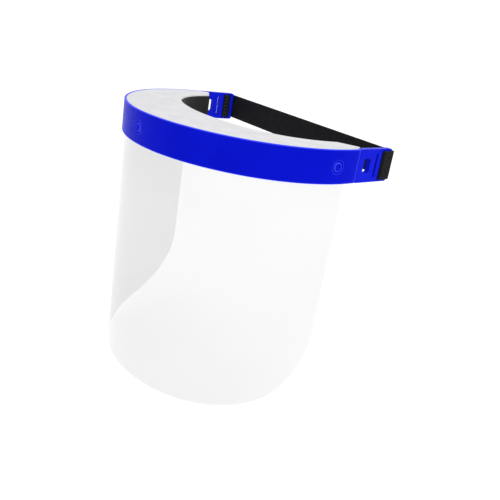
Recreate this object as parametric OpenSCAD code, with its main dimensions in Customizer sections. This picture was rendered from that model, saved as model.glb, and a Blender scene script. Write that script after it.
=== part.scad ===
// Face shield: a clear visor held by a moulded head band, with a foam brow
// and an elastic strap. Millimetres. The origin is where the forehead meets
// the sweatband, at mid-height of the band. +Y points back through the
// wearer's head, +X to the wearer's left, and +Z up.

/* [Head band] */
// Outer radius of the arc across the forehead
front_r = 109.5; // [106:0.1:114]
// Half angle of the forehead arc, in degrees
front_deg = 43.5; // [42:0.5:45]
// Outer radius of each side arc
side_r = 89.4; // [88:0.1:91]
// Angle of each side arc, in degrees
side_deg = 56.2; // [55:0.1:57]
// Height of the band and of its end tabs
band_h = 23; // [21:0.5:26]
// Thickness of the outer band
band_t = 1.6; // [1.4:0.1:1.8]
// Thickness of the inner frame strip
frame_t = 1.5; // [1.2:0.1:1.8]
// Height of the inner frame strip between the tabs
frame_h = 19; // [17:0.5:20]

/* [End tabs] */
// Length of a tab behind its seam
tab_len = 33.5; // [33:0.1:35]
// Direction in which a tab points, in degrees from straight across
tab_heading = 94.2; // [93:0.1:96]
// Corner radius of a tab's free end
tab_corner_r = 3; // [1:0.5:4]
// Width of the accessory slot
slot_w = 6.8; // [6:0.2:8]
// Height of the accessory slot
slot_h = 10; // [8:0.5:12]
// Distance from the seam to the middle of the accessory slot
slot_at = 8.4; // [8:0.1:9]
// Width of the flex slit
slit_w = 2.2; // [1.5:0.1:3]
// Height of the flex slit
slit_h = 17.2; // [14:0.2:18]
// Distance from the seam to the middle of the flex slit
slit_at = 17.7; // [17:0.1:18.5]
// Distance from the seam to the front of the hem pocket
pocket_at = 22.4; // [22:0.1:23]
// Length of the hem pocket along the tab
pocket_w = 7.4; // [7:0.1:7.8]
// Thickness of the wall that closes the pocket on the outside
pocket_wall = 1.2; // [1:0.1:1.4]
// Width of the mouth that the strap passes through
mouth_w = 2; // [1.8:0.1:2.4]

/* [Visor] */
// Thickness of the clear sheet
visor_t = 0.5; // [0.4:0.05:0.6]
// Drop from the middle of the band to the visor's lowest edge
visor_drop = 185.9; // [160:1:220]
// Height of the visor above the middle of the band
visor_rise = 8.5; // [7:0.5:9]
// Side arc that the visor covers, in degrees
visor_side_deg = 49.9; // [48:0.1:50]
// Radius of the shallow curve along the visor's lower edge, seen from the side
visor_edge_r = 192; // [180:1:220]
// Angle of that shallow curve, in degrees
visor_edge_deg = 18; // [14:0.5:20]

/* [Brow foam and sweatband] */
// Depth of the foam at the middle of the forehead
foam_depth = 45.7; // [35:0.5:50]
// Radius of the foam's inner face across the forehead
brow_r = 120; // [110:1:140]
// Half angle of that face, in degrees
brow_deg = 21.5; // [18:0.5:24]
// Radius of the foam's inner face at the temples
temple_r = 60; // [55:1:64]
// Angle of each temple curve, in degrees
temple_deg = 56.5; // [54:0.5:60]
// Length of the straight stretch behind each temple
temple_run = 4.5; // [4:0.5:8]
// How far the foam runs on along each tab
foam_tail = 5; // [3:0.5:6]
// Thickness of the sweatband
liner_t = 2; // [1.5:0.1:3]
// Height of the sweatband
liner_h = 21; // [18:0.5:22]
// Thickness of the adhesive tapes
tape_t = 0.25; // [0.1:0.05:0.3]

/* [Studs] */
// Diameter of a stud's shank
shank_d = 4; // [3:0.1:5]
// Radial clearance of the shank in its socket
shank_gap = 0.06; // [0.03:0.01:0.1]
// Diameter of a stud's head
head_d = 6.2; // [5.5:0.1:7]
// Diameter of the round recess around a head
recess_d = 9; // [8:0.1:10]
// Depth of the recess in the band
recess_depth = 0.8; // [0.5:0.1:1]
// Direction of each side stud, in degrees of heading
side_stud_heading = 87; // [85:0.5:88]

/* [Strap] */
// Width of the elastic webbing
strap_w = 20; // [18:0.5:20.5]
// Thickness of the webbing
strap_t = 1.5; // [1.2:0.1:1.6]
// Distance from the middle plane to each end of the rear span
strap_join_x = 84; // [80:1:88]

/* [Hidden] */
$fn = 96;
eps = 0.01;
gap = 0.05;          // between pieces that lie against each other
blue = [0.03, 0.09, 0.74];
black = [0.08, 0.09, 0.1];
foam_white = [0.9, 0.9, 0.92];

// Insets are measured inward from the outer face of the band.
visor_in = band_t + gap;
frame_in = visor_in + visor_t + gap;
tab_t = frame_in + frame_t;
foam_in = tab_t + tape_t + gap;

// Plan of the band. The liner's inner face passes through the origin.
front_y = -(tab_t + tape_t + gap + foam_depth + tape_t + liner_t);
front_centre = [0, front_y + front_r];
seam_heading = front_deg + side_deg;
side_centre = front_centre + (front_r - side_r) * outward(front_deg);
seam = side_centre + side_r * outward(seam_heading);
seam_gap = 0.3;
plan_steps = 40;      // straight steps along each half of a plan curve

// Plan of the head's side of the foam.
brow_y = -(tape_t + liner_t);
brow_centre = [0, brow_y + brow_r];
temple_centre = brow_centre + (brow_r - temple_r) * outward(brow_deg);
temple_heading = brow_deg + temple_deg;
temple_end = temple_centre + temple_r * outward(temple_heading);
run_end = temple_end + temple_run * forward(temple_heading);
tail_r = 3.5;         // rounding where the foam ends beside a tab

// Studs and their sockets.
hole_gap = 0.2;
head_t = 0.9;
head_sink = recess_depth - 0.1;
shank_len = 4.9;
socket_gap = 0.15;   // between a socket's flat face and the curved frame
socket_d = 8;
socket_t = 2.6;

// The strap's end, in a tab's own axes: u along the tab, v inward.
bar_r = tab_t / 2;
bend_u = tab_len - bar_r;
lift = 0.15;         // between the webbing and the tab
bend_r = bar_r + lift;
bend_deg = 180 - tab_heading;
leg_u = pocket_at + (mouth_w - strap_t) / 2;
hem_gap = 0.25;       // round the hem in its pocket
hem_t = tab_t - pocket_wall - 2 * hem_gap;
bend_centre = tab_point(bend_u, bar_r);
stub_len = bend_centre.x - strap_join_x;
stitch_rows = [2.2, 4.2];
stitch_pitch = 3;
strap_gap = 0.1;     // between the rear span and each end

// Unit vectors in plan, for a heading in degrees from straight across.
function forward(heading) = [cos(heading), sin(heading)];
function outward(heading) = [sin(heading), -cos(heading)];

// A point on the band's outer face, set in from it.
function band_point(heading, inset = 0) =
    heading <= front_deg
    ? front_centre + (front_r - inset) * outward(heading)
    : side_centre + (side_r - inset) * outward(heading);

// A point on the head's side of the foam, offset towards the head.
function brow_point(heading, offset = 0) =
    heading <= brow_deg
    ? brow_centre + (brow_r - offset) * outward(heading)
    : temple_centre + (temple_r - offset) * outward(heading);

// A point on the left tab, from its own axes: u along the tab, v inward.
function tab_point(u, v) = seam + u * forward(tab_heading) - v * outward(tab_heading);

// The left half of each plan curve, from the middle plane to its end.
function band_side(inset, end_heading) =
    [for (i = [0:plan_steps]) band_point(end_heading * i / plan_steps, inset)];
function brow_side(offset) =
    concat([for (i = [0:plan_steps]) brow_point(temple_heading * i / plan_steps, offset)],
           [run_end - offset * outward(temple_heading)]);

function foam_side() =
    concat(band_side(visor_in - gap / 2, seam_heading - 0.2), [tab_point(0, foam_in)],
           arc(tab_point(foam_tail - tail_r, foam_in + tail_r), tail_r,
               tab_heading - 90, tab_heading));

function reversed(points) = [for (i = [len(points) - 1:-1:0]) points[i]];

// A left half joined to its mirror image, from the right end to the left end.
function both_halves(points) =
    concat([for (i = [len(points) - 1:-1:1]) [-points[i].x, points[i].y]], points);

// Points along an arc, from one polar angle to another.
function arc(centre, r, from, to, steps = 8) =
    [for (i = [0:steps])
        let (a = from + (to - from) * i / steps) centre + r * [cos(a), sin(a)]];

// A rectangle about a centre, with round corners.
function rounded(centre, w, h, r) =
    concat(arc(centre + [w / 2 - r, h / 2 - r], r, 0, 90),
           arc(centre + [r - w / 2, h / 2 - r], r, 90, 180),
           arc(centre + [r - w / 2, r - h / 2], r, 180, 270),
           arc(centre + [w / 2 - r, r - h / 2], r, 270, 360));

module on_left() {
    children();
}

module on_right() {
    mirror([1, 0, 0]) children();
}

module on_both_sides() {
    on_left() children();
    on_right() children();
}

// A wall between two plan curves, each given as its left half.
module curved_wall(outer, inner, z_low, z_high) {
    translate([0, 0, z_low]) linear_extrude(z_high - z_low)
        polygon(concat(both_halves(outer), reversed(both_halves(inner))));
}

// A strip that follows the band, at an inset from its outer face.
module band_strip(inset, thickness, z_low, z_high, end_heading) {
    curved_wall(band_side(inset, end_heading), band_side(inset + thickness, end_heading),
                z_low, z_high);
}

// A strip that follows the head's side of the foam, at an offset towards the head.
module brow_strip(offset, thickness, height) {
    curved_wall(brow_side(offset), brow_side(offset + thickness), -height / 2, height / 2);
}

// Puts children at a heading on the band, with their +Z pointing outward.
module facing_out(heading) {
    p = band_point(heading);
    translate([p.x, p.y, 0]) rotate(heading) rotate([90, 0, 0]) children();
}

module at_studs() {
    facing_out(0) children();
    on_both_sides() facing_out(side_stud_heading) children();
}

module stud_holes(d) {
    at_studs() translate([0, 0, -8]) cylinder(d = d, h = 9);
}

// Puts children in the left tab's own axes: x along the tab, y inward.
module on_tab() {
    translate([seam.x, seam.y, 0]) rotate(tab_heading) children();
}

// ---- Inner frame and its end tabs ----

module tab_outline() {
    difference() {
        polygon(concat([[0, band_h / 2], [0, -band_h / 2]],
                       arc([tab_len - tab_corner_r, tab_corner_r - band_h / 2],
                           tab_corner_r, -90, 0),
                       arc([tab_len - tab_corner_r, band_h / 2 - tab_corner_r],
                           tab_corner_r, 0, 90)));
        polygon(rounded([slot_at, 0], slot_w, slot_h, 1.5));
        polygon(rounded([slit_at, 0], slit_w, slit_h, 1));
    }
}

module tab_plan() {
    polygon(concat([[0, 0]], arc([bend_u, bar_r], bar_r, -90, 90, 16), [[0, tab_t]]));
}

module tab() {
    pocket_h = strap_w + 0.8;
    difference() {
        intersection() {
            translate([0, tab_t, 0]) rotate([90, 0, 0]) linear_extrude(tab_t) tab_outline();
            translate([0, 0, -band_h / 2]) linear_extrude(band_h) tab_plan();
        }
        translate([pocket_at, pocket_wall, -pocket_h / 2])
            cube([pocket_w, tab_t, pocket_h]);
        translate([pocket_at, -1, -pocket_h / 2])
            cube([mouth_w, tab_t, pocket_h]);
    }
}

module headband_frame() {
    color(blue) difference() {
        union() {
            band_strip(frame_in, frame_t, -frame_h / 2, frame_h / 2, seam_heading + 1);
            on_both_sides() on_tab() tab();
        }
        stud_holes(shank_d + 2 * hole_gap);
    }
}

// ---- Outer band ----

module front_band() {
    seam_gap_deg = seam_gap / side_r * 180 / PI;
    color(blue) difference() {
        band_strip(0, band_t, -band_h / 2, band_h / 2, seam_heading - seam_gap_deg);
        stud_holes(shank_d + 2 * hole_gap);
        at_studs() translate([0, 0, -recess_depth]) cylinder(d = recess_d, h = 3);
    }
}

// ---- Visor ----

// The space below the visor's lower edge, seen from the side, with y from the band's front.
module below_edge() {
    edge_y = band_point(front_deg + visor_side_deg).y - front_y;
    join_y = visor_edge_r * sin(visor_edge_deg);
    corner_r = (edge_y - join_y) / (1 - sin(visor_edge_deg));
    shallow = [0, visor_edge_r - visor_drop];
    corner = [edge_y - corner_r,
              shallow.y - (visor_edge_r - corner_r) * cos(visor_edge_deg)];
    polygon(concat([[-5, -visor_drop - 5], [-5, -visor_drop]],
                   arc(shallow, visor_edge_r, -90, visor_edge_deg - 90, 12),
                   arc(corner, corner_r, visor_edge_deg - 88, 0, 24),
                   [[edge_y + 5, corner.y], [edge_y + 5, -visor_drop - 5]]));
}

module visor() {
    color([0.9, 0.95, 1, 0.35]) difference() {
        band_strip(visor_in, visor_t, -visor_drop - 4, visor_rise, front_deg + visor_side_deg);
        translate([-150, front_y, 0]) rotate([90, 0, 90]) linear_extrude(300) below_edge();
        stud_holes(shank_d + 4 * hole_gap);
    }
}

// ---- Foam, sweatband and tapes ----

module brow_foam() {
    color(foam_white) difference() {
        curved_wall(foam_side(), brow_side(0), -band_h / 2, band_h / 2);
        band_strip(0, frame_in, -band_h, visor_rise + 1, seam_heading + 1);
        band_strip(0, foam_in, -frame_h / 2 - 0.2, frame_h / 2 + 0.2, seam_heading + 1);
        at_studs() translate([0, 0, -8.5]) cylinder(d = socket_d + 1, h = 9);
    }
}

module foam_tape() {
    color("gainsboro") difference() {
        band_strip(tab_t + gap / 2, tape_t, -8, 8, seam_heading - 3);
        at_studs() translate([0, 0, -8.5]) cylinder(d = socket_d + 1, h = 9);
    }
}

module sweatband() {
    color(black) brow_strip(tape_t, liner_t, liner_h);
}

module sweatband_tape() {
    color("gainsboro") brow_strip(0, tape_t, liner_h - 3);
}

// ---- Studs ----

// A push stud, with its head in the band's recess.
module stud() {
    color(blue) {
        translate([0, 0, -head_sink]) cylinder(d = head_d, h = head_t);
        translate([0, 0, -head_sink - shank_len]) cylinder(d = shank_d, h = shank_len + eps);
    }
}

// The cap that grips the shank, on the inside of the frame strip.
module stud_socket() {
    wall_t = 0.6;
    color(blue) translate([0, 0, -tab_t - socket_gap - socket_t]) difference() {
        cylinder(d = socket_d, h = socket_t);
        translate([0, 0, wall_t]) cylinder(d = shank_d + 2 * shank_gap, h = socket_t);
    }
}

module stud_left() {
    on_left() facing_out(side_stud_heading) stud();
}

module stud_centre() {
    facing_out(0) stud();
}

module stud_right() {
    on_right() facing_out(side_stud_heading) stud();
}

module stud_socket_left() {
    on_left() facing_out(side_stud_heading) stud_socket();
}

module stud_socket_centre() {
    facing_out(0) stud_socket();
}

module stud_socket_right() {
    on_right() facing_out(side_stud_heading) stud_socket();
}

// ---- Strap ----

module strap_rear() {
    half_len = strap_join_x - strap_gap;
    color(black) translate([-half_len, bend_centre.y + bend_r, -strap_w / 2])
        cube([2 * half_len, strap_t, strap_w]);
}

// Plan of the strap's left end: hem, leg through the mouth, outer layer, bend and stub.
module strap_end_plan() {
    outside = -lift - strap_t;
    hem_v = pocket_wall + hem_gap;
    hem_u = leg_u + pocket_w - 2 * hem_gap;
    bar = [bend_u, bar_r];
    stub = stub_len * [cos(bend_deg), sin(bend_deg)];
    outer_bend = arc(bar, bend_r + strap_t, -90, bend_deg - 90, 12);
    inner_bend = arc(bar, bend_r, bend_deg - 90, -90, 12);
    polygon(concat([[leg_u, outside]], outer_bend, [outer_bend[12] + stub],
                   [inner_bend[0] + stub], inner_bend,
                   [[leg_u + strap_t, -lift], [leg_u + strap_t, hem_v], [hem_u, hem_v],
                    [hem_u, hem_v + hem_t], [leg_u, hem_v + hem_t]]));
}

module strap_end() {
    color(black) on_tab() translate([0, 0, -strap_w / 2])
        linear_extrude(strap_w) strap_end_plan();
}

module strap_end_left() {
    on_left() strap_end();
}

module strap_end_right() {
    on_right() strap_end();
}

// Rows of thread that hold the folded hem, standing just proud of it.
module hem_stitch() {
    stitch = [0.5, 0.2, 2];
    color("dimgray") on_tab()
        for (u = stitch_rows, n = [-3:3])
            translate([leg_u + u, pocket_wall + hem_gap + hem_t, n * stitch_pitch - stitch.z / 2])
                cube(stitch);
}

module hem_stitch_left() {
    on_left() hem_stitch();
}

module hem_stitch_right() {
    on_right() hem_stitch();
}

headband_frame();
front_band();
visor();
brow_foam();
foam_tape();
sweatband();
sweatband_tape();
stud_left();
stud_centre();
stud_right();
stud_socket_left();
stud_socket_centre();
stud_socket_right();
strap_rear();
strap_end_left();
strap_end_right();
hem_stitch_left();
hem_stitch_right();
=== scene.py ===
"""Looks for the face shield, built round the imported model.

Plan measurements are in millimetres, as in part.scad, and a mesh is scaled to
metres when it is made. +X is the wearer's left, +Y runs back through the head.
"""

import math

import bmesh
import bpy
from mathutils import Matrix, Vector


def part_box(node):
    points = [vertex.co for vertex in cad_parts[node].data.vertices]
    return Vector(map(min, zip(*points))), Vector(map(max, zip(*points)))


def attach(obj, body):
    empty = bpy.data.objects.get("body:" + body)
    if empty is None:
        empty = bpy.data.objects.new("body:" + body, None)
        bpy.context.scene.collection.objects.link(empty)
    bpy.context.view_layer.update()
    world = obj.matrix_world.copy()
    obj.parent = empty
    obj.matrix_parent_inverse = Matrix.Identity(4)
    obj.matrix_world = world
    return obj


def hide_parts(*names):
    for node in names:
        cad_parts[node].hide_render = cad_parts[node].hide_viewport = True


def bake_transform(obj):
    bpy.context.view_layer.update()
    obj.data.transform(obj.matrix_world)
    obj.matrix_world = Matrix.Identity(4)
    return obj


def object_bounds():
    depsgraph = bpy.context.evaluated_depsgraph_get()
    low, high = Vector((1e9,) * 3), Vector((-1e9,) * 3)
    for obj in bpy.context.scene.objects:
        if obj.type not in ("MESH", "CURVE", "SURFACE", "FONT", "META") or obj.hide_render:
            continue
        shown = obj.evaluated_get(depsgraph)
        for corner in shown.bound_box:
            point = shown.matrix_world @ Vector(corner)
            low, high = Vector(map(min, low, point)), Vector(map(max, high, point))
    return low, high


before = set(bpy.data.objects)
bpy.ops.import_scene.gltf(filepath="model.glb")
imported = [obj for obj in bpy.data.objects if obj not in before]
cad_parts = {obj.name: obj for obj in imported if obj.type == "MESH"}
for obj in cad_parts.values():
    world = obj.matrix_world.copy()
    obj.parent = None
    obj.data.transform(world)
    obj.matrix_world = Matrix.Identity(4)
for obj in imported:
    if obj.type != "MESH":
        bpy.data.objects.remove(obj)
cad_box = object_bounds()
MM = 0.001


def box_mm(node):
    """A CAD node's lowest and highest corners, in millimetres."""
    low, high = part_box(node)
    return low / MM, high / MM


# ---- Plan of the band, as in part.scad ----

FRONT_R, FRONT_DEG = 109.5, 43.5
SIDE_R, SEAM_DEG = 89.4, 99.7
BAND_T = 1.6
FIT = 0.05
VISOR_T = 0.5
FRAME_T = 1.5
TAB_DEG = 94.2
TAB_LEN = 33.5
STUD_DEG = 87.0
VISOR_DEG = 93.4
VISOR_IN = BAND_T + FIT
FRAME_IN = VISOR_IN + VISOR_T + FIT
TAB_T = FRAME_IN + FRAME_T
TAPE_T = 0.25
FOAM_IN = TAB_T + TAPE_T + FIT
BAND_LOW, BAND_HIGH = box_mm("front_band")
FRONT_Y = BAND_LOW.y
BAND_TOP = BAND_HIGH.z


def forward(deg):
    """Unit vector along the band at a heading."""
    return Vector((math.cos(math.radians(deg)), math.sin(math.radians(deg))))


def outward(deg):
    """Unit vector out of the band at a heading."""
    return Vector((math.sin(math.radians(deg)), -math.cos(math.radians(deg))))


FRONT_CENTRE = Vector((0, FRONT_Y + FRONT_R))
SIDE_CENTRE = FRONT_CENTRE + (FRONT_R - SIDE_R) * outward(FRONT_DEG)
SEAM = SIDE_CENTRE + SIDE_R * outward(SEAM_DEG)


def mirrored(point, side):
    return Vector((point.x * side, point.y))


def band_point(deg, inset=0.0):
    """A point on the band's outer face, set in from it. Negative headings are the right side."""
    side, deg = (-1, -deg) if deg < 0 else (1, deg)
    if deg <= FRONT_DEG:
        point = FRONT_CENTRE + (FRONT_R - inset) * outward(deg)
    else:
        point = SIDE_CENTRE + (SIDE_R - inset) * outward(deg)
    return mirrored(point, side)


def tab_point(u, v):
    """A point on the left tab: u along it from the seam, v inward from its outer face."""
    return SEAM + u * forward(TAB_DEG) - v * outward(TAB_DEG)


BROW_R, BROW_DEG = 120.0, 21.5
TEMPLE_R, TEMPLE_DEG = 60.0, 78.0
TEMPLE_RUN = 4.5
LINER_T = 2.0
BROW_CENTRE = Vector((0, BROW_R - TAPE_T - LINER_T))
TEMPLE_CENTRE = BROW_CENTRE + (BROW_R - TEMPLE_R) * outward(BROW_DEG)


def brow_point(along, offset=0.0):
    """A point on the foam's inner face, offset towards the head.

    along is a heading in degrees up to the end of the temple curve, and then
    goes on by one for each millimetre of the straight stretch.
    """
    side, along = (-1, -along) if along < 0 else (1, along)
    deg = min(along, TEMPLE_DEG)
    if deg <= BROW_DEG:
        point = BROW_CENTRE + (BROW_R - offset) * outward(deg)
    else:
        point = TEMPLE_CENTRE + (TEMPLE_R - offset) * outward(deg)
    return mirrored(point + max(along - TEMPLE_DEG, 0) * forward(TEMPLE_DEG), side)


def spread(start, end, step):
    """Evenly spaced values from start to end, no further apart than step."""
    count = max(1, math.ceil(abs(end - start) / step - 1e-9))
    return [start + (end - start) * i / count for i in range(count + 1)]


def merged(*lists, apart=0.02):
    """All values of several lists in order, without near repeats."""
    kept = []
    for value in sorted(v for values in lists for v in values):
        if not kept or value - kept[-1] > apart:
            kept.append(value)
    return kept


def wave(distance, pitch):
    """Rises from 0 to 1 and falls back once in each pitch."""
    return 0.5 - 0.5 * math.cos(2 * math.pi * distance / pitch)


# ---- Mesh building ----


class Shape:
    """Points in millimetres and faces, made into a mesh object at the end."""

    def __init__(self):
        self.points, self.faces, self.uvs = [], [], {}

    def add(self, plan, z, uv=None):
        self.points.append((plan[0] * MM, plan[1] * MM, z * MM))
        if uv is not None:
            self.uvs[len(self.points) - 1] = uv
        return len(self.points) - 1

    def band(self, first, second, closed=True):
        """Quads between two rows of the same length."""
        count = len(first)
        for k in range(count if closed else count - 1):
            n = (k + 1) % count
            self.faces.append((first[k], first[n], second[n], second[k]))

    def ladder(self, ring):
        """Closes a ring whose second half runs back beside its first."""
        last = len(ring) - 1
        for k in range(len(ring) // 2 - 1):
            self.faces.append((ring[k], ring[k + 1], ring[last - k - 1], ring[last - k]))

    def object(self, name, material, smooth_deg=35):
        mesh = bpy.data.meshes.new(name)
        mesh.from_pydata(self.points, [], self.faces)
        work = bmesh.new()
        work.from_mesh(mesh)
        bmesh.ops.recalc_face_normals(work, faces=work.faces)
        work.to_mesh(mesh)
        work.free()
        if self.uvs:
            layer = mesh.uv_layers.new(name="along")
            for loop in mesh.loops:
                layer.data[loop.index].uv = self.uvs[loop.vertex_index]
        mesh.shade_smooth()
        mesh.set_sharp_from_angle(angle=math.radians(smooth_deg))
        mesh.materials.append(material)
        made = bpy.data.objects.new(name, mesh)
        bpy.context.scene.collection.objects.link(made)
        return made


def half_profile(rows, edge, sunk=0.0):
    """One side of a slab's section, as (depth, z) from bottom to top, with round edges.

    rows are the heights of the flat face, lowest first; the section runs past
    them by edge. sunk draws the whole side in, for the round end of a slab.
    """
    low, high, r = rows[0] - edge + sunk, rows[-1] + edge - sunk, edge - sunk
    turn = [math.radians(a) for a in (80, 50, 20)]
    bottom = [(sunk + r * (1 - math.cos(a)), low + r * (1 - math.sin(a))) for a in turn]
    top = [(sunk + r * (1 - math.cos(a)), high - r * (1 - math.sin(a))) for a in reversed(turn)]
    return bottom + [(sunk, z) for z in rows] + top


def disc_patch(shape, loop, place, rings):
    """Fills a loop of (id, s, z) with rings about its middle, and gives back the last ring."""
    last = [i for i, _, _ in loop]
    angles = [math.atan2(z, s) for _, s, z in loop]
    for radius, depth in rings:
        ring = [shape.add(*place(radius * math.cos(a), radius * math.sin(a), depth))
                for a in angles]
        shape.band(last, ring)
        last = ring
    return last


HOLE_HALF = 7.0       # half the side of the square patch round each stud
HOLE_ROWS = spread(-HOLE_HALF, HOLE_HALF, 1.2)
STUDS = ((-STUD_DEG, SIDE_R), (0, FRONT_R), (STUD_DEG, SIDE_R))


def stud_patches(headings):
    """Each stud's heading and radius, and where its patch starts and stops in a list."""
    for centre, radius in STUDS:
        reach = math.degrees(HOLE_HALF / radius) + 1e-3
        inside = [i for i, h in enumerate(headings) if h is not None and abs(h - centre) <= reach]
        yield centre, radius, inside[0], inside[-1]


def patch_edge(first, last, low, high):
    """Places in a grid, in order round the edge of a patch."""
    return ([(i, low) for i in range(first, last)] + [(last, k) for k in range(low, high)]
            + [(i, high) for i in range(last, first, -1)]
            + [(first, k) for k in range(high, low, -1)])


def stud_headings():
    """Headings that carry the square patches round the three studs."""
    front = [math.degrees(s / FRONT_R) for s in HOLE_ROWS]
    side = [math.degrees(s / SIDE_R) for s in HOLE_ROWS]
    return (front + [STUD_DEG + d for d in side] + [-STUD_DEG + d for d in side])


def wall_headings(end, extra=()):
    """Headings for a wall that reaches from -end to end."""
    blocks = stud_headings()
    edges = [-end, *sorted(blocks), end]
    plain = [v for a, b in zip(edges, edges[1:]) if b - a > 2.2 for v in spread(a, b, 1.5)]
    return merged(blocks, plain, extra)


def curved_wall(name, material, end, rows_at, inset, thickness, edge,
                outer_rings, inner_rings, extra=()):
    """A wall that follows the band, with a round hole or dish at each stud.

    rows_at(heading) gives the heights of its faces, and HOLE_ROWS are among them.
    """
    shape = Shape()
    headings = wall_headings(end, extra)
    round_deg = math.degrees(edge / SIDE_R)
    stations = [(h, 0.0) for h in headings if abs(h) < end - round_deg]
    for a in (0, 25, 50, 75):
        turn = math.radians(a)
        h = end - round_deg * (1 - math.sin(turn))
        stations.append((h, edge * (1 - math.cos(turn))))
        stations.insert(0, (-h, edge * (1 - math.cos(turn))))
    rings, rows = [], len(rows_at(0)) + 6
    for h, sunk in stations:
        half = half_profile(rows_at(h), edge, sunk)
        rings.append([shape.add(band_point(h, inset + d), z) for d, z in half]
                     + [shape.add(band_point(h, inset + thickness - d), z)
                        for d, z in reversed(half)])
    low = 3 + rows_at(0).index(HOLE_ROWS[0])
    high = low + len(HOLE_ROWS) - 1
    open_cells = set()
    for centre, radius, first, last in stud_patches([h for h, _ in stations]):
        open_cells |= {(i, k) for i in range(first, last) for k in range(low, high)}
        open_cells |= {(i, 2 * rows - 2 - k) for i in range(first, last) for k in range(low, high)}
        edge_loop = patch_edge(first, last, low, high)

        def at(s, z, depth, centre=centre, radius=radius):
            return band_point(centre + math.degrees(s / radius), inset + depth), z

        def loop(side_index):
            found = []
            for i, k in edge_loop:
                s = math.radians(stations[i][0] - centre) * radius
                z = shape.points[rings[i][k]][2] / MM
                found.append((rings[i][side_index(k)], s, z))
            return found

        outer = disc_patch(shape, loop(lambda k: k), at, outer_rings)
        inner = disc_patch(shape, loop(lambda k: 2 * rows - 1 - k), at, inner_rings)
        shape.band(outer, inner)
    for i in range(len(rings) - 1):
        for k in range(2 * rows):
            if (i, k) not in open_cells:
                n = (k + 1) % (2 * rows)
                shape.faces.append((rings[i][k], rings[i][n], rings[i + 1][n], rings[i + 1][k]))
    shape.ladder(rings[0])
    shape.ladder(rings[-1])
    return shape.object(name, material)


# ---- Materials ----


class Finish:
    """A Principled material with textures read in object coordinates, in metres."""

    def __init__(self, name, coordinates="Object", **inputs):
        self.material = bpy.data.materials.new(name)
        self.material.use_nodes = True
        self.tree = self.material.node_tree
        self.shader = self.tree.nodes["Principled BSDF"]
        self.place = self.tree.nodes.new("ShaderNodeTexCoord").outputs[coordinates]
        self.height = None
        for key, value in inputs.items():
            self.shader.inputs[key.replace("_", " ")].default_value = value

    def link(self, source, target):
        self.tree.links.new(source, target)

    def stretched(self, scale):
        """The coordinates, with each axis scaled."""
        node = self.tree.nodes.new("ShaderNodeMapping")
        node.inputs["Scale"].default_value = scale
        self.link(self.place, node.inputs["Vector"])
        return node.outputs["Vector"]

    def noise(self, per_metre, detail=3.0, roughness=0.5, vector=None):
        node = self.tree.nodes.new("ShaderNodeTexNoise")
        node.inputs["Scale"].default_value = per_metre
        node.inputs["Detail"].default_value = detail
        node.inputs["Roughness"].default_value = roughness
        self.link(vector or self.place, node.inputs["Vector"])
        return node.outputs["Fac"]

    def cells(self, per_metre):
        node = self.tree.nodes.new("ShaderNodeTexVoronoi")
        node.inputs["Scale"].default_value = per_metre
        self.link(self.place, node.inputs["Vector"])
        return node.outputs["Distance"]

    def ribs(self, per_metre, axis, distortion=0.0, vector=None):
        """Bands across an axis, per_metre of them in a metre."""
        node = self.tree.nodes.new("ShaderNodeTexWave")
        node.bands_direction = axis
        node.inputs["Scale"].default_value = per_metre * math.pi / 10
        node.inputs["Distortion"].default_value = distortion
        node.inputs["Detail"].default_value = 1.0
        self.link(vector or self.place, node.inputs["Vector"])
        return node.outputs["Fac"]

    def ranged(self, value, low, high, from_low=0.3, from_high=0.7):
        node = self.tree.nodes.new("ShaderNodeMapRange")
        for key, number in (("From Min", from_low), ("From Max", from_high),
                            ("To Min", low), ("To Max", high)):
            node.inputs[key].default_value = number
        self.link(value, node.inputs["Value"])
        return node.outputs["Result"]

    def product(self, a, b):
        node = self.tree.nodes.new("ShaderNodeMath")
        node.operation = "MULTIPLY"
        self.link(a, node.inputs[0])
        self.link(b, node.inputs[1])
        return node.outputs["Value"]

    def colours(self, value, first, second):
        """The base colour runs from first to second with the value."""
        node = self.tree.nodes.new("ShaderNodeMix")
        node.data_type = "RGBA"
        node.inputs["A"].default_value = (*first, 1)
        node.inputs["B"].default_value = (*second, 1)
        self.link(self.ranged(value, 0, 1), node.inputs["Factor"])
        self.link(node.outputs["Result"], self.shader.inputs["Base Color"])

    def painted_edge_highlight(self, colour):
        """Mixes a paler colour into rounded edges, where the mesh turns sharply, as a painted
        highlight along them.
        """
        geometry = self.tree.nodes.new("ShaderNodeNewGeometry")
        node = self.tree.nodes.new("ShaderNodeMix")
        node.data_type = "RGBA"
        base = self.shader.inputs["Base Color"]
        self.link(base.links[0].from_socket, node.inputs["A"])
        node.inputs["B"].default_value = (*colour, 1)
        self.link(self.ranged(geometry.outputs["Pointiness"], 0, 0.8, 0.505, 0.53),
                  node.inputs["Factor"])
        self.link(node.outputs["Result"], base)

    def rough(self, value, low, high):
        self.link(self.ranged(value, low, high), self.shader.inputs["Roughness"])

    def bump(self, value, depth_mm, strength=1.0):
        """Relief of a depth in millimetres, added to what is there already."""
        node = self.tree.nodes.new("ShaderNodeBump")
        node.inputs["Strength"].default_value = strength
        node.inputs["Distance"].default_value = depth_mm * MM
        self.link(value, node.inputs["Height"])
        if self.height is not None:
            self.link(self.height, node.inputs["Normal"])
        self.height = node.outputs["Normal"]
        self.link(self.height, self.shader.inputs["Normal"])


def blue_plastic(name, first, second, edge=None):
    made = Finish(name, Specular_IOR_Level=0.02)
    made.colours(made.noise(45, 4), first, second)
    # edge is the paler colour of a painted highlight along the rounded edges.
    if edge:
        made.painted_edge_highlight(edge)
    made.rough(made.noise(300, 5), 0.26, 0.38)
    made.bump(made.noise(70, 2), 0.03, 0.4)
    made.bump(made.noise(900, 2), 0.004, 0.4)
    return made.material


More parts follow.
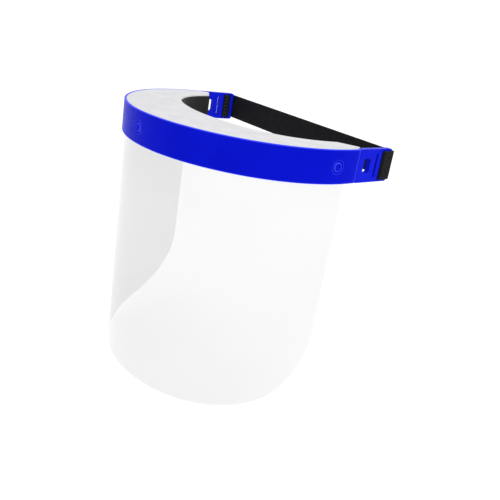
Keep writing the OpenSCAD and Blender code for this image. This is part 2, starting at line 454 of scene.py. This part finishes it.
def clear_film():
    """A part-transparent surface instead of refracting glass, for an even, pale tint."""
    made = Finish("clear_film", Alpha=0.12, IOR=1.5)
    made.colours(made.noise(18, 2), (0.18, 0.185, 0.19), (0.24, 0.245, 0.25))
    scuffs = made.noise(420, 4, 0.6, made.stretched((1, 1, 0.06)))
    made.rough(scuffs, 0.015, 0.05)
    made.bump(made.noise(14, 1), 0.12, 0.4)
    return made.material


def closed_cell_foam():
    made = Finish("closed_cell_foam", Specular_IOR_Level=0.15, Sheen_Weight=0.04)
    made.colours(made.noise(90, 5), (0.53, 0.53, 0.545), (0.6, 0.6, 0.612))
    made.rough(made.noise(700, 3), 0.62, 0.8)
    made.bump(made.cells(1500), 0.09, 0.5)
    made.bump(made.noise(160, 3), 0.08, 0.6)
    return made.material


def ribbed_cloth():
    made = Finish("ribbed_cloth", Specular_IOR_Level=0.1, Sheen_Weight=0.05, Sheen_Roughness=0.5)
    weave = made.product(made.ribs(1400, "Z", 0.6), made.noise(1900, 2))
    made.colours(made.noise(260, 4), (0.008, 0.0083, 0.0084), (0.016, 0.0166, 0.0164))
    made.rough(made.noise(900, 3), 0.78, 0.95)
    made.bump(weave, 0.12, 0.8)
    made.bump(made.noise(1300, 3), 0.05, 0.6)
    return made.material


def elastic_webbing():
    """Read in the webbing's own UVs, which are metres along and across it."""
    made = Finish("elastic_webbing", "UV", Specular_IOR_Level=0.08,
                  Sheen_Weight=0.03, Sheen_Roughness=0.45)
    picks = made.ribs(1430, "X", 0.3)
    cords = made.ribs(1000, "Y", 0.15)
    made.colours(made.noise(420, 4), (0.003, 0.0033, 0.0042), (0.007, 0.0074, 0.009))
    made.rough(made.noise(800, 3), 0.6, 0.85)
    made.bump(picks, 0.1, 0.7)
    made.bump(cords, 0.07, 0.7)
    made.bump(made.noise(3500, 2), 0.03, 0.6)
    return made.material


def sewing_thread():
    made = Finish("sewing_thread", Specular_IOR_Level=0.4, Sheen_Weight=0.15)
    made.colours(made.noise(900, 3), (0.02, 0.021, 0.023), (0.045, 0.046, 0.048))
    made.rough(made.noise(1500, 2), 0.45, 0.65)
    made.bump(made.ribs(2600, "DIAGONAL"), 0.06, 0.8)
    return made.material


def adhesive_tape():
    made = Finish("adhesive_tape", Specular_IOR_Level=0.4)
    made.colours(made.noise(220, 4), (0.6, 0.6, 0.57), (0.7, 0.7, 0.66))
    made.rough(made.noise(500, 3), 0.35, 0.55)
    made.bump(made.noise(900, 4), 0.03, 0.6)
    return made.material


# BLUE's paler edge colour is a painted highlight along its rounded edges.
BLUE = blue_plastic("blue_plastic", (0.001, 0.004, 0.45), (0.0016, 0.0054, 0.5),
                    edge=(0.045, 0.07, 0.95))
FRAME_BLUE = blue_plastic("frame_plastic", (0.003, 0.008, 0.5), (0.0045, 0.0105, 0.56))
FILM = clear_film()
FOAM = closed_cell_foam()
CLOTH = ribbed_cloth()
WEBBING = elastic_webbing()
THREAD = sewing_thread()
TAPE = adhesive_tape()


def belongs(piece, slot, body, *nodes):
    """The piece stands for CAD nodes, which are hidden, and is hung on a body's empty when a body
    is given. slot is not used.
    """
    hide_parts(*nodes)
    if body:
        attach(piece, body)
    return piece


# ---- Outer band ----

EDGE_R = 0.45
face_top = BAND_TOP - EDGE_R
band_rows = merged(HOLE_ROWS, [-face_top, -face_top + 0.4, -9, 9, face_top - 0.4, face_top])
dish = [(5.4, 0), (4.72, 0), (4.62, 0.015), (4.53, 0.06), (4.46, 0.15), (4.38, 0.34),
        (4.3, 0.52), (4.2, 0.66), (4.05, 0.75), (3.85, 0.79), (3.2, 0.8), (2.25, 0.8)]
front_band = curved_wall(
    "front_band_moulded", BLUE, SEAM_DEG - math.degrees(0.3 / SIDE_R),
    lambda h: band_rows, 0, BAND_T, EDGE_R, dish, [(5.4, BAND_T), (2.25, BAND_T)])
belongs(front_band, "band_plastic", "root", "front_band")


# ---- Visor ----

VISOR_LOW, VISOR_HIGH = box_mm("visor")
VISOR_EDGE = 0.18
EDGE_CURVE_R, EDGE_CURVE_DEG = 192.0, 18.0
edge_back = band_point(VISOR_DEG).y - FRONT_Y
curve_top = VISOR_LOW.z + EDGE_CURVE_R
corner_r = ((edge_back - EDGE_CURVE_R * math.sin(math.radians(EDGE_CURVE_DEG)))
            / (1 - math.sin(math.radians(EDGE_CURVE_DEG))))
corner_back = edge_back - corner_r
corner_z = curve_top - (EDGE_CURVE_R - corner_r) * math.cos(math.radians(EDGE_CURVE_DEG))


def visor_bottom(deg):
    """Height of the visor's lower edge at a heading."""
    back = min(band_point(deg).y - FRONT_Y, edge_back)
    if back <= EDGE_CURVE_R * math.sin(math.radians(EDGE_CURVE_DEG)):
        return curve_top - math.sqrt(EDGE_CURVE_R ** 2 - back ** 2)
    return corner_z - math.sqrt(max(corner_r ** 2 - (back - corner_back) ** 2, 0))


def corner_headings():
    """Headings that step evenly round the lower corner as it turns up."""
    found = []
    for turn in spread(EDGE_CURVE_DEG, 88, 2.5):
        back = corner_back + corner_r * math.sin(math.radians(turn))
        y = back + FRONT_Y
        found.append(math.degrees(math.acos((SIDE_CENTRE.y - y) / SIDE_R)))
    return found + [-h for h in found]


def visor_rows(deg):
    low = visor_bottom(deg) + VISOR_EDGE
    below = [HOLE_ROWS[0] + (low - HOLE_ROWS[0]) * i / 24 for i in range(24, 0, -1)]
    return below + HOLE_ROWS + [VISOR_HIGH.z - VISOR_EDGE]


visor = curved_wall(
    "visor_film", FILM, VISOR_DEG, visor_rows, VISOR_IN, VISOR_T, VISOR_EDGE,
    [(4.5, 0), (2.4, 0)], [(4.5, VISOR_T), (2.4, VISOR_T)], corner_headings())
belongs(visor, "visor_sheet", "root", "visor")


# ---- Inner frame and end tabs ----


def rounded_copy(name, node, width, material):
    """A CAD node's shape with its sharp edges rounded over."""
    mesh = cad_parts[node].data.copy()
    work = bmesh.new()
    work.from_mesh(mesh)
    bmesh.ops.remove_doubles(work, verts=work.verts, dist=1e-6)
    bmesh.ops.dissolve_limit(work, angle_limit=math.radians(0.3),
                             verts=work.verts, edges=work.edges)
    work.to_mesh(mesh)
    work.free()
    mesh.materials.clear()
    mesh.materials.append(material)
    made = bpy.data.objects.new(name, mesh)
    bpy.context.scene.collection.objects.link(made)
    bevel = made.modifiers.new("round", "BEVEL")
    bevel.width = width * MM
    bevel.segments = 3
    bevel.limit_method = "ANGLE"
    bevel.angle_limit = math.radians(40)
    bevel.use_clamp_overlap = True
    made.modifiers.new("even", "WEIGHTED_NORMAL").keep_sharp = False
    graph = bpy.context.evaluated_depsgraph_get()
    made.data.shade_smooth()
    finished = bpy.data.meshes.new_from_object(made.evaluated_get(graph))
    made.modifiers.clear()
    made.data = finished
    return made


headband = rounded_copy("headband_frame_moulded", "headband_frame", 0.3, FRAME_BLUE)
belongs(headband, "band_plastic", "root", "headband_frame")


# ---- Brow foam ----

FOAM_TAIL, TAIL_R = 5.0, 3.5
FOAM_END_DEG = SEAM_DEG - 0.2
LIP_Z = 9.7           # half the height of the groove that holds the frame
FOAM_EDGE = 1.3       # rounding along the foam's edges


def foam_stations():
    """Pairs of an outer point, as a function of inset, and a place along the brow."""
    found = []
    for h in wall_headings(FOAM_END_DEG):
        found.append((lambda inset, h=h: band_point(h, inset),
                      TEMPLE_DEG * h / FOAM_END_DEG, h))
    tail = [tab_point(0, FOAM_IN), tab_point(FOAM_TAIL - TAIL_R, FOAM_IN)]
    centre = Vector((FOAM_TAIL - TAIL_R, FOAM_IN + TAIL_R))
    for a in spread(-78, 0, 13):
        turn = math.radians(a)
        tail.append(tab_point(centre.x + TAIL_R * math.cos(turn),
                              centre.y + TAIL_R * math.sin(turn)))
    for n, point in enumerate(tail):
        along = TEMPLE_DEG + TEMPLE_RUN * (n + 1) / len(tail)
        found.append((lambda inset, p=point: p, along, None))
        found.insert(0, (lambda inset, p=point: mirrored(p, -1), -along, None))
    return found


def brow_foam():
    """The crescent: rounded along its edges, with a groove in front for the frame."""
    shape = Shape()
    stations = foam_stations()
    lip = VISOR_IN
    across = [0, 0.004, 0.012, 0.03] + spread(0.08, 0.92, 0.1) + [0.955, 0.975, 0.99, 1]
    length = [0.0]
    middles = [(outer(lip) + brow_point(along)) / 2 for outer, along, _ in stations]
    for a, b in zip(middles, middles[1:]):
        length.append(length[-1] + (b - a).length)

    def face(top):
        grid = []
        for i, (outer, along, _) in enumerate(stations):
            start, stop = outer(lip if top > 0 else FRAME_IN), brow_point(along)
            row = []
            for w in across:
                deep = (stop - start).length
                near = min(w * deep + FOAM_EDGE * 0.45, (1 - w) * deep,
                           length[i] * 1.2, (length[-1] - length[i]) * 1.2)
                short = max(FOAM_EDGE - near, 0)
                drop = FOAM_EDGE - math.sqrt(FOAM_EDGE ** 2 - short ** 2)
                row.append(shape.add(start.lerp(stop, w), top * (BAND_TOP - drop)))
            grid.append(row)
        for a, b in zip(grid, grid[1:]):
            shape.band(a, b, closed=False)
        return grid

    top, bottom = face(1), face(-1)
    rows = [-LIP_Z, -LIP_Z + 0.02] + HOLE_ROWS + [LIP_Z - 0.02, LIP_Z]
    insets = [FRAME_IN] + [FOAM_IN] * (len(rows) - 2) + [lip]
    front = [[shape.add(outer(inset), z) for inset, z in zip(insets, rows)]
             for outer, _, _ in stations]
    back = [[shape.add(brow_point(along), z) for z in rows] for _, along, _ in stations]
    fractions = across[1:-1]
    ends = []
    for i in (0, -1):
        end_rows = []
        for r in range(len(rows)):
            a = Vector(shape.points[front[i][r]]) / MM
            b = Vector(shape.points[back[i][r]]) / MM
            end_rows.append([front[i][r]] + [shape.add(a.lerp(b, w).xy, rows[r]) for w in fractions]
                            + [back[i][r]])
        ends.append(end_rows)

    open_cells = set()
    low = rows.index(HOLE_ROWS[0])
    high = low + len(HOLE_ROWS) - 1
    for centre, radius, first, last in stud_patches([h for _, _, h in stations]):
        open_cells |= {(i, k) for i in range(first, last) for k in range(low, high)}
        cells = patch_edge(first, last, low, high)
        loop = [(front[i][k], math.radians(stations[i][2] - centre) * radius, rows[k])
                for i, k in cells]

        def at(s, z, depth, centre=centre, radius=radius):
            return band_point(centre + math.degrees(s / radius), FOAM_IN + depth), z

        end = disc_patch(shape, loop, at, [(5.5, 0), (4.5, 0), (4.5, 4.5)])
        shape.faces.append(tuple(reversed(end)))

    for i in range(len(stations) - 1):
        for k in range(len(rows) - 1):
            if (i, k) not in open_cells:
                shape.faces.append((front[i][k], front[i][k + 1],
                                    front[i + 1][k + 1], front[i + 1][k]))
            shape.faces.append((back[i][k], back[i][k + 1], back[i + 1][k + 1], back[i + 1][k]))
        shape.faces.append((front[i][-1], top[i][0], top[i + 1][0], front[i + 1][-1]))
        shape.faces.append((front[i][0], bottom[i][0], bottom[i + 1][0], front[i + 1][0]))
        shape.faces.append((back[i][-1], top[i][-1], top[i + 1][-1], back[i + 1][-1]))
        shape.faces.append((back[i][0], bottom[i][-1], bottom[i + 1][-1], back[i + 1][0]))
    for i, end_rows in zip((0, -1), ends):
        for lower, upper in zip([bottom[i]] + end_rows, end_rows + [top[i]]):
            shape.band(lower, upper, closed=False)
    return shape.object("brow_foam_pad", FOAM, 50)


foam = belongs(brow_foam(), "brow_foam", "root", "brow_foam")


# ---- Sweatband ----

LINER_HALF = box_mm("sweatband")[1].z
RIB_PITCH, RIB_DEPTH = 2.1, 0.32


def sweatband():
    """A ribbed strip along the inner face of the foam."""
    shape = Shape()
    edge, end = 0.6, TEMPLE_DEG + TEMPLE_RUN
    rows = spread(-LINER_HALF + edge, LINER_HALF - edge, RIB_PITCH / 6)
    places = merged(spread(-end, end, 1.2), [-TEMPLE_DEG, TEMPLE_DEG])
    rounding = [(end - edge * (1 - math.sin(a)), edge * (1 - math.cos(a)))
                for a in map(math.radians, (0, 25, 50, 75))]
    stations = [(-p, sunk) for p, sunk in reversed(rounding)]
    stations += [(p, 0.0) for p in places if abs(p) < end - edge]
    stations += rounding
    rings = []
    for along, sunk in stations:
        half = half_profile(rows, edge, sunk)
        ring = [shape.add(brow_point(along, TAPE_T + d), z) for d, z in half]
        for d, z in reversed(half):
            give = RIB_DEPTH * wave(z, RIB_PITCH) * min(1, max(0, (LINER_HALF - abs(z)) / 1.2))
            ring.append(shape.add(brow_point(along, TAPE_T + LINER_T - d - give), z))
        rings.append(ring)
    for a, b in zip(rings, rings[1:]):
        shape.band(a, b)
    shape.ladder(rings[0])
    shape.ladder(rings[-1])
    return shape.object("sweatband_ribbed", CLOTH, 60)


liner = belongs(sweatband(), "sweatband_cloth", "root", "sweatband")


# ---- Studs ----


def turned(name, profile, heading, material):
    """A profile of (radius, height) turned about the line out of the band at a heading."""
    shape = Shape()
    base, out, side = band_point(heading), outward(abs(heading)), forward(abs(heading))
    if heading < 0:
        out, side = mirrored(out, -1), mirrored(side, -1)
    rings = []
    for r, height in profile:
        ring = []
        for n in range(40):
            turn = 2 * math.pi * n / 40
            ring.append(shape.add(base + out * height + side * (r * math.cos(turn)),
                                  r * math.sin(turn)))
        rings.append(ring)
    for a, b in zip(rings, rings[1:]):
        shape.band(a, b)
    shape.faces.append(tuple(rings[0]))
    shape.faces.append(tuple(rings[-1]))
    return shape.object(name, material, 40)


stud_profile = [(1.2, -5.6), (1.65, -5.5), (1.95, -5.1), (2.0, -4.8), (2.0, -4.3), (1.82, -4.1),
                (1.82, -3.7), (2.0, -3.5), (2.0, -1.0), (2.1, -0.8), (2.35, -0.7), (2.8, -0.7),
                (2.98, -0.65), (3.08, -0.52), (3.1, -0.35), (3.1, -0.12), (3.06, 0.04),
                (2.96, 0.14), (2.8, 0.19), (2.55, 0.19), (2.3, 0.12), (2.0, -0.02),
                (1.6, -0.14), (1.1, -0.21), (0.5, -0.24)]
for place, heading in (("left", STUD_DEG), ("centre", 0), ("right", -STUD_DEG)):
    stud = turned("stud_button_" + place, stud_profile, heading, BLUE)
    belongs(stud, "band_plastic", "stud_" + place, "stud_" + place)


# ---- Strap ----

# The strap's end, in a tab's own axes: u along the tab, v inward.
BAR_R = TAB_T / 2
BEND_U = TAB_LEN - BAR_R
LIFT = 0.15
WEB_T = 1.5
HEM_T = 0.97          # one layer of the pressed hem
HEM_U = 22.65
HEM_END = 29.05
LEG_U = HEM_U + WEB_T / 2
FOLD_R = 0.5
LEG_TURN_R = 0.8
WEB_EDGE = 0.5        # plain selvage along each edge of the webbing
STRAP_HALF = box_mm("strap_rear")[1].z
STRAP_Y = (box_mm("strap_rear")[0].y + box_mm("strap_rear")[1].y) / 2


def arc(centre, radius, start, end, step=12):
    """Points round a centre, in a tab's own axes."""
    return [(centre[0] + radius * math.cos(math.radians(a)),
             centre[1] + radius * math.sin(math.radians(a))) for a in spread(start, end, step)]


def strap_line():
    """The webbing's middle line in plan, from its hem to the middle of the rear span."""
    hem_v = 2.45
    leg_u = LEG_U + LEG_TURN_R
    outer_v = -LIFT - WEB_T / 2
    line = [(HEM_U + 2.55, hem_v - FOLD_R)]
    line += arc((HEM_END, hem_v), FOLD_R, -90, 90, 20)
    line += arc((leg_u, hem_v + FOLD_R - LEG_TURN_R), LEG_TURN_R, 90, 180)
    line += arc((leg_u, outer_v + LEG_TURN_R), LEG_TURN_R, 180, 270)
    line += arc((BEND_U, BAR_R), BAR_R + LIFT + WEB_T / 2, -90, 90 - TAB_DEG, 6)
    plan = [tab_point(u, v) for u, v in line]
    return plan + [Vector((0, STRAP_Y))]


def resampled(line, step):
    """The line cut into equal steps, as (point, distance)."""
    lengths = [(b - a).length for a, b in zip(line, line[1:])]
    total = sum(lengths)
    found, done, i = [], 0.0, 0
    for s in spread(0, total, step):
        while i < len(lengths) - 1 and s > done + lengths[i]:
            done += lengths[i]
            i += 1
        found.append((line[i].lerp(line[i + 1], min((s - done) / lengths[i], 1)), s))
    return found


PICK, CORD = 1.4, 1.0  # pitch of the webbing's ribs, along it and across it


def strap(name, side):
    """Half of the strap: its sewn hem, the loop round the tab, and half of the rear span."""
    shape = Shape()
    stations = resampled(strap_line(), PICK / 4)
    rows = spread(-STRAP_HALF + WEB_EDGE, STRAP_HALF - WEB_EDGE, CORD / 2)
    points = [p for p, _ in stations]
    rings = []
    for i, (point, s) in enumerate(stations):
        heading = (points[min(i + 1, len(points) - 1)] - points[max(i - 1, 0)]).normalized()
        left = Vector((-heading.y, heading.x))
        thick = HEM_T + (WEB_T - HEM_T) * min(1, max(0, (s - 9.4) / 2.5))
        pick = wave(s, PICK)
        half = half_profile(rows, min(0.45, thick * 0.4))
        ring = []
        for direction in (1, -1):
            for k, (d, z) in enumerate(half if direction > 0 else reversed(half)):
                inner = 1 if abs(z) <= STRAP_HALF - WEB_EDGE else 0
                relief = inner * (0.05 * pick + 0.04 * wave(z, CORD))
                out = (thick / 2 - d - relief) * direction
                ring.append(shape.add(mirrored(point + left * out, side), z,
                                      (s * MM, z * MM)))
        rings.append(ring)
    for a, b in zip(rings, rings[1:]):
        shape.band(a, b)
    shape.ladder(rings[0])
    shape.ladder(rings[-1])
    return shape.object(name, WEBBING, 60)


for place, side in (("left", 1), ("right", -1)):
    half_strap = strap("strap_webbing_" + place, side)
    belongs(half_strap, "strap_webbing", None, "strap_end_" + place, "strap_rear")
    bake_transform(half_strap)


# ---- Stitches in the hem ----


def stitches(name, side):
    """Short arches of thread in two rows, each end sunk in the hem."""
    shape = Shape()
    hem_face = 3.42
    half_width, half_depth, pitch = 0.22, 0.13, 3
    for u in (HEM_U + 2.2, HEM_U + 4.2):
        for n in range(-3, 4):
            rings = []
            for t in spread(-1, 1, 0.2):
                rise = 0.13 * (1 - t ** 4) - 0.1 * t ** 6
                ring = []
                for k in range(8):
                    turn = 2 * math.pi * k / 8
                    v = hem_face - 0.1 + rise + half_depth * math.sin(turn)
                    place = tab_point(u + half_width * math.cos(turn), v)
                    ring.append(shape.add(mirrored(place, side), pitch * n + t))
                rings.append(ring)
            for a, b in zip(rings, rings[1:]):
                shape.band(a, b)
            shape.faces += [tuple(rings[0]), tuple(rings[-1])]
    return shape.object(name, THREAD, 60)


for place, side in (("left", 1), ("right", -1)):
    rows_of_thread = stitches("hem_thread_" + place, side)
    belongs(rows_of_thread, "thread", "root", "hem_stitch_" + place)


# ---- CAD nodes that keep their shape ----

for name, material, slot in (
        ("foam_tape", TAPE, "adhesive_tape"), ("sweatband_tape", TAPE, "adhesive_tape"),
        ("stud_socket_left", BLUE, "band_plastic"), ("stud_socket_centre", BLUE, "band_plastic"),
        ("stud_socket_right", BLUE, "band_plastic")):
    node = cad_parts[name]
    node.data.materials.clear()
    node.data.materials.append(material)
    node.data.shade_smooth()
    node.data.set_sharp_from_angle(angle=math.radians(35))


# ---- Floor, light and camera ----


def floor():
    """A plain pale disc just under the visor. It glows, so that shadows on it stay faint."""
    shape = Shape()
    z = cad_box[0][2] / MM - 0.6
    steps = 96
    centre = shape.add((0, 0), z)
    previous = None
    for radius in (300, 800, 2000, 6000):
        ring = [shape.add((radius * math.cos(math.tau * n / steps),
                           radius * math.sin(math.tau * n / steps)), z)
                for n in range(steps)]
        if previous is None:
            shape.faces += [(centre, ring[n], ring[(n + 1) % steps]) for n in range(steps)]
        else:
            shape.band(previous, ring)
        previous = ring
    pale = Finish("studio_floor", Roughness=0.9, Specular_IOR_Level=0.1,
                  Emission_Color=(1, 1, 1, 1), Emission_Strength=0.62)
    pale.colours(pale.noise(3, 2), (0.4, 0.4, 0.4), (0.42, 0.42, 0.42))
    return shape.object("studio_floor", pale.material)


floor()

world = bpy.data.worlds.new("studio")
bpy.context.scene.world = world
world.use_nodes = True
world.node_tree.nodes["Background"].inputs["Color"].default_value = (1, 1, 1, 1)
world.node_tree.nodes["Background"].inputs["Strength"].default_value = 1.12


def soft_light(name, place, target, size, power):
    data = bpy.data.lights.new(name, "AREA")
    data.shape = "DISK"
    data.size = size
    data.energy = power
    made = bpy.data.objects.new(name, data)
    made.location = place
    made.rotation_euler = (Vector(target) - Vector(place)).to_track_quat("-Z", "Y").to_euler()
    bpy.context.scene.collection.objects.link(made)
    return made


soft_light("overhead", (1.1, 0.1, 1.0), (0, 0, 0), 1.0, 7)
soft_light("behind", (-1.3, 1.15, 0.75), (0, 0, 0), 1.2, 1.5)

TARGET = Vector((0.0573, 0.0147, -0.0735))
DISTANCE = 0.4494
LENS, SENSOR = 45.35, 36
AZIMUTH, ELEVATION, ROLL = math.radians(51.04), math.radians(20.71), math.radians(9.33)
back = Vector((math.sin(AZIMUTH) * math.cos(ELEVATION),
               -math.cos(AZIMUTH) * math.cos(ELEVATION), math.sin(ELEVATION)))
right = Vector((math.cos(AZIMUTH), math.sin(AZIMUTH), 0))
up = back.cross(right)
camera_data = bpy.data.cameras.new("camera")
camera_data.lens = LENS
camera_data.sensor_width = SENSOR
camera_data.clip_start = 0.01
camera = bpy.data.objects.new("camera", camera_data)
across = right * math.cos(ROLL) + up * math.sin(ROLL)
upward = up * math.cos(ROLL) - right * math.sin(ROLL)
camera.matrix_world = (Matrix.Translation(TARGET + back * DISTANCE)
                       @ Matrix((across, upward, back)).transposed().to_4x4())
bpy.context.scene.collection.objects.link(camera)
bpy.context.scene.camera = camera
bpy.context.scene.view_settings.view_transform = "Standard"
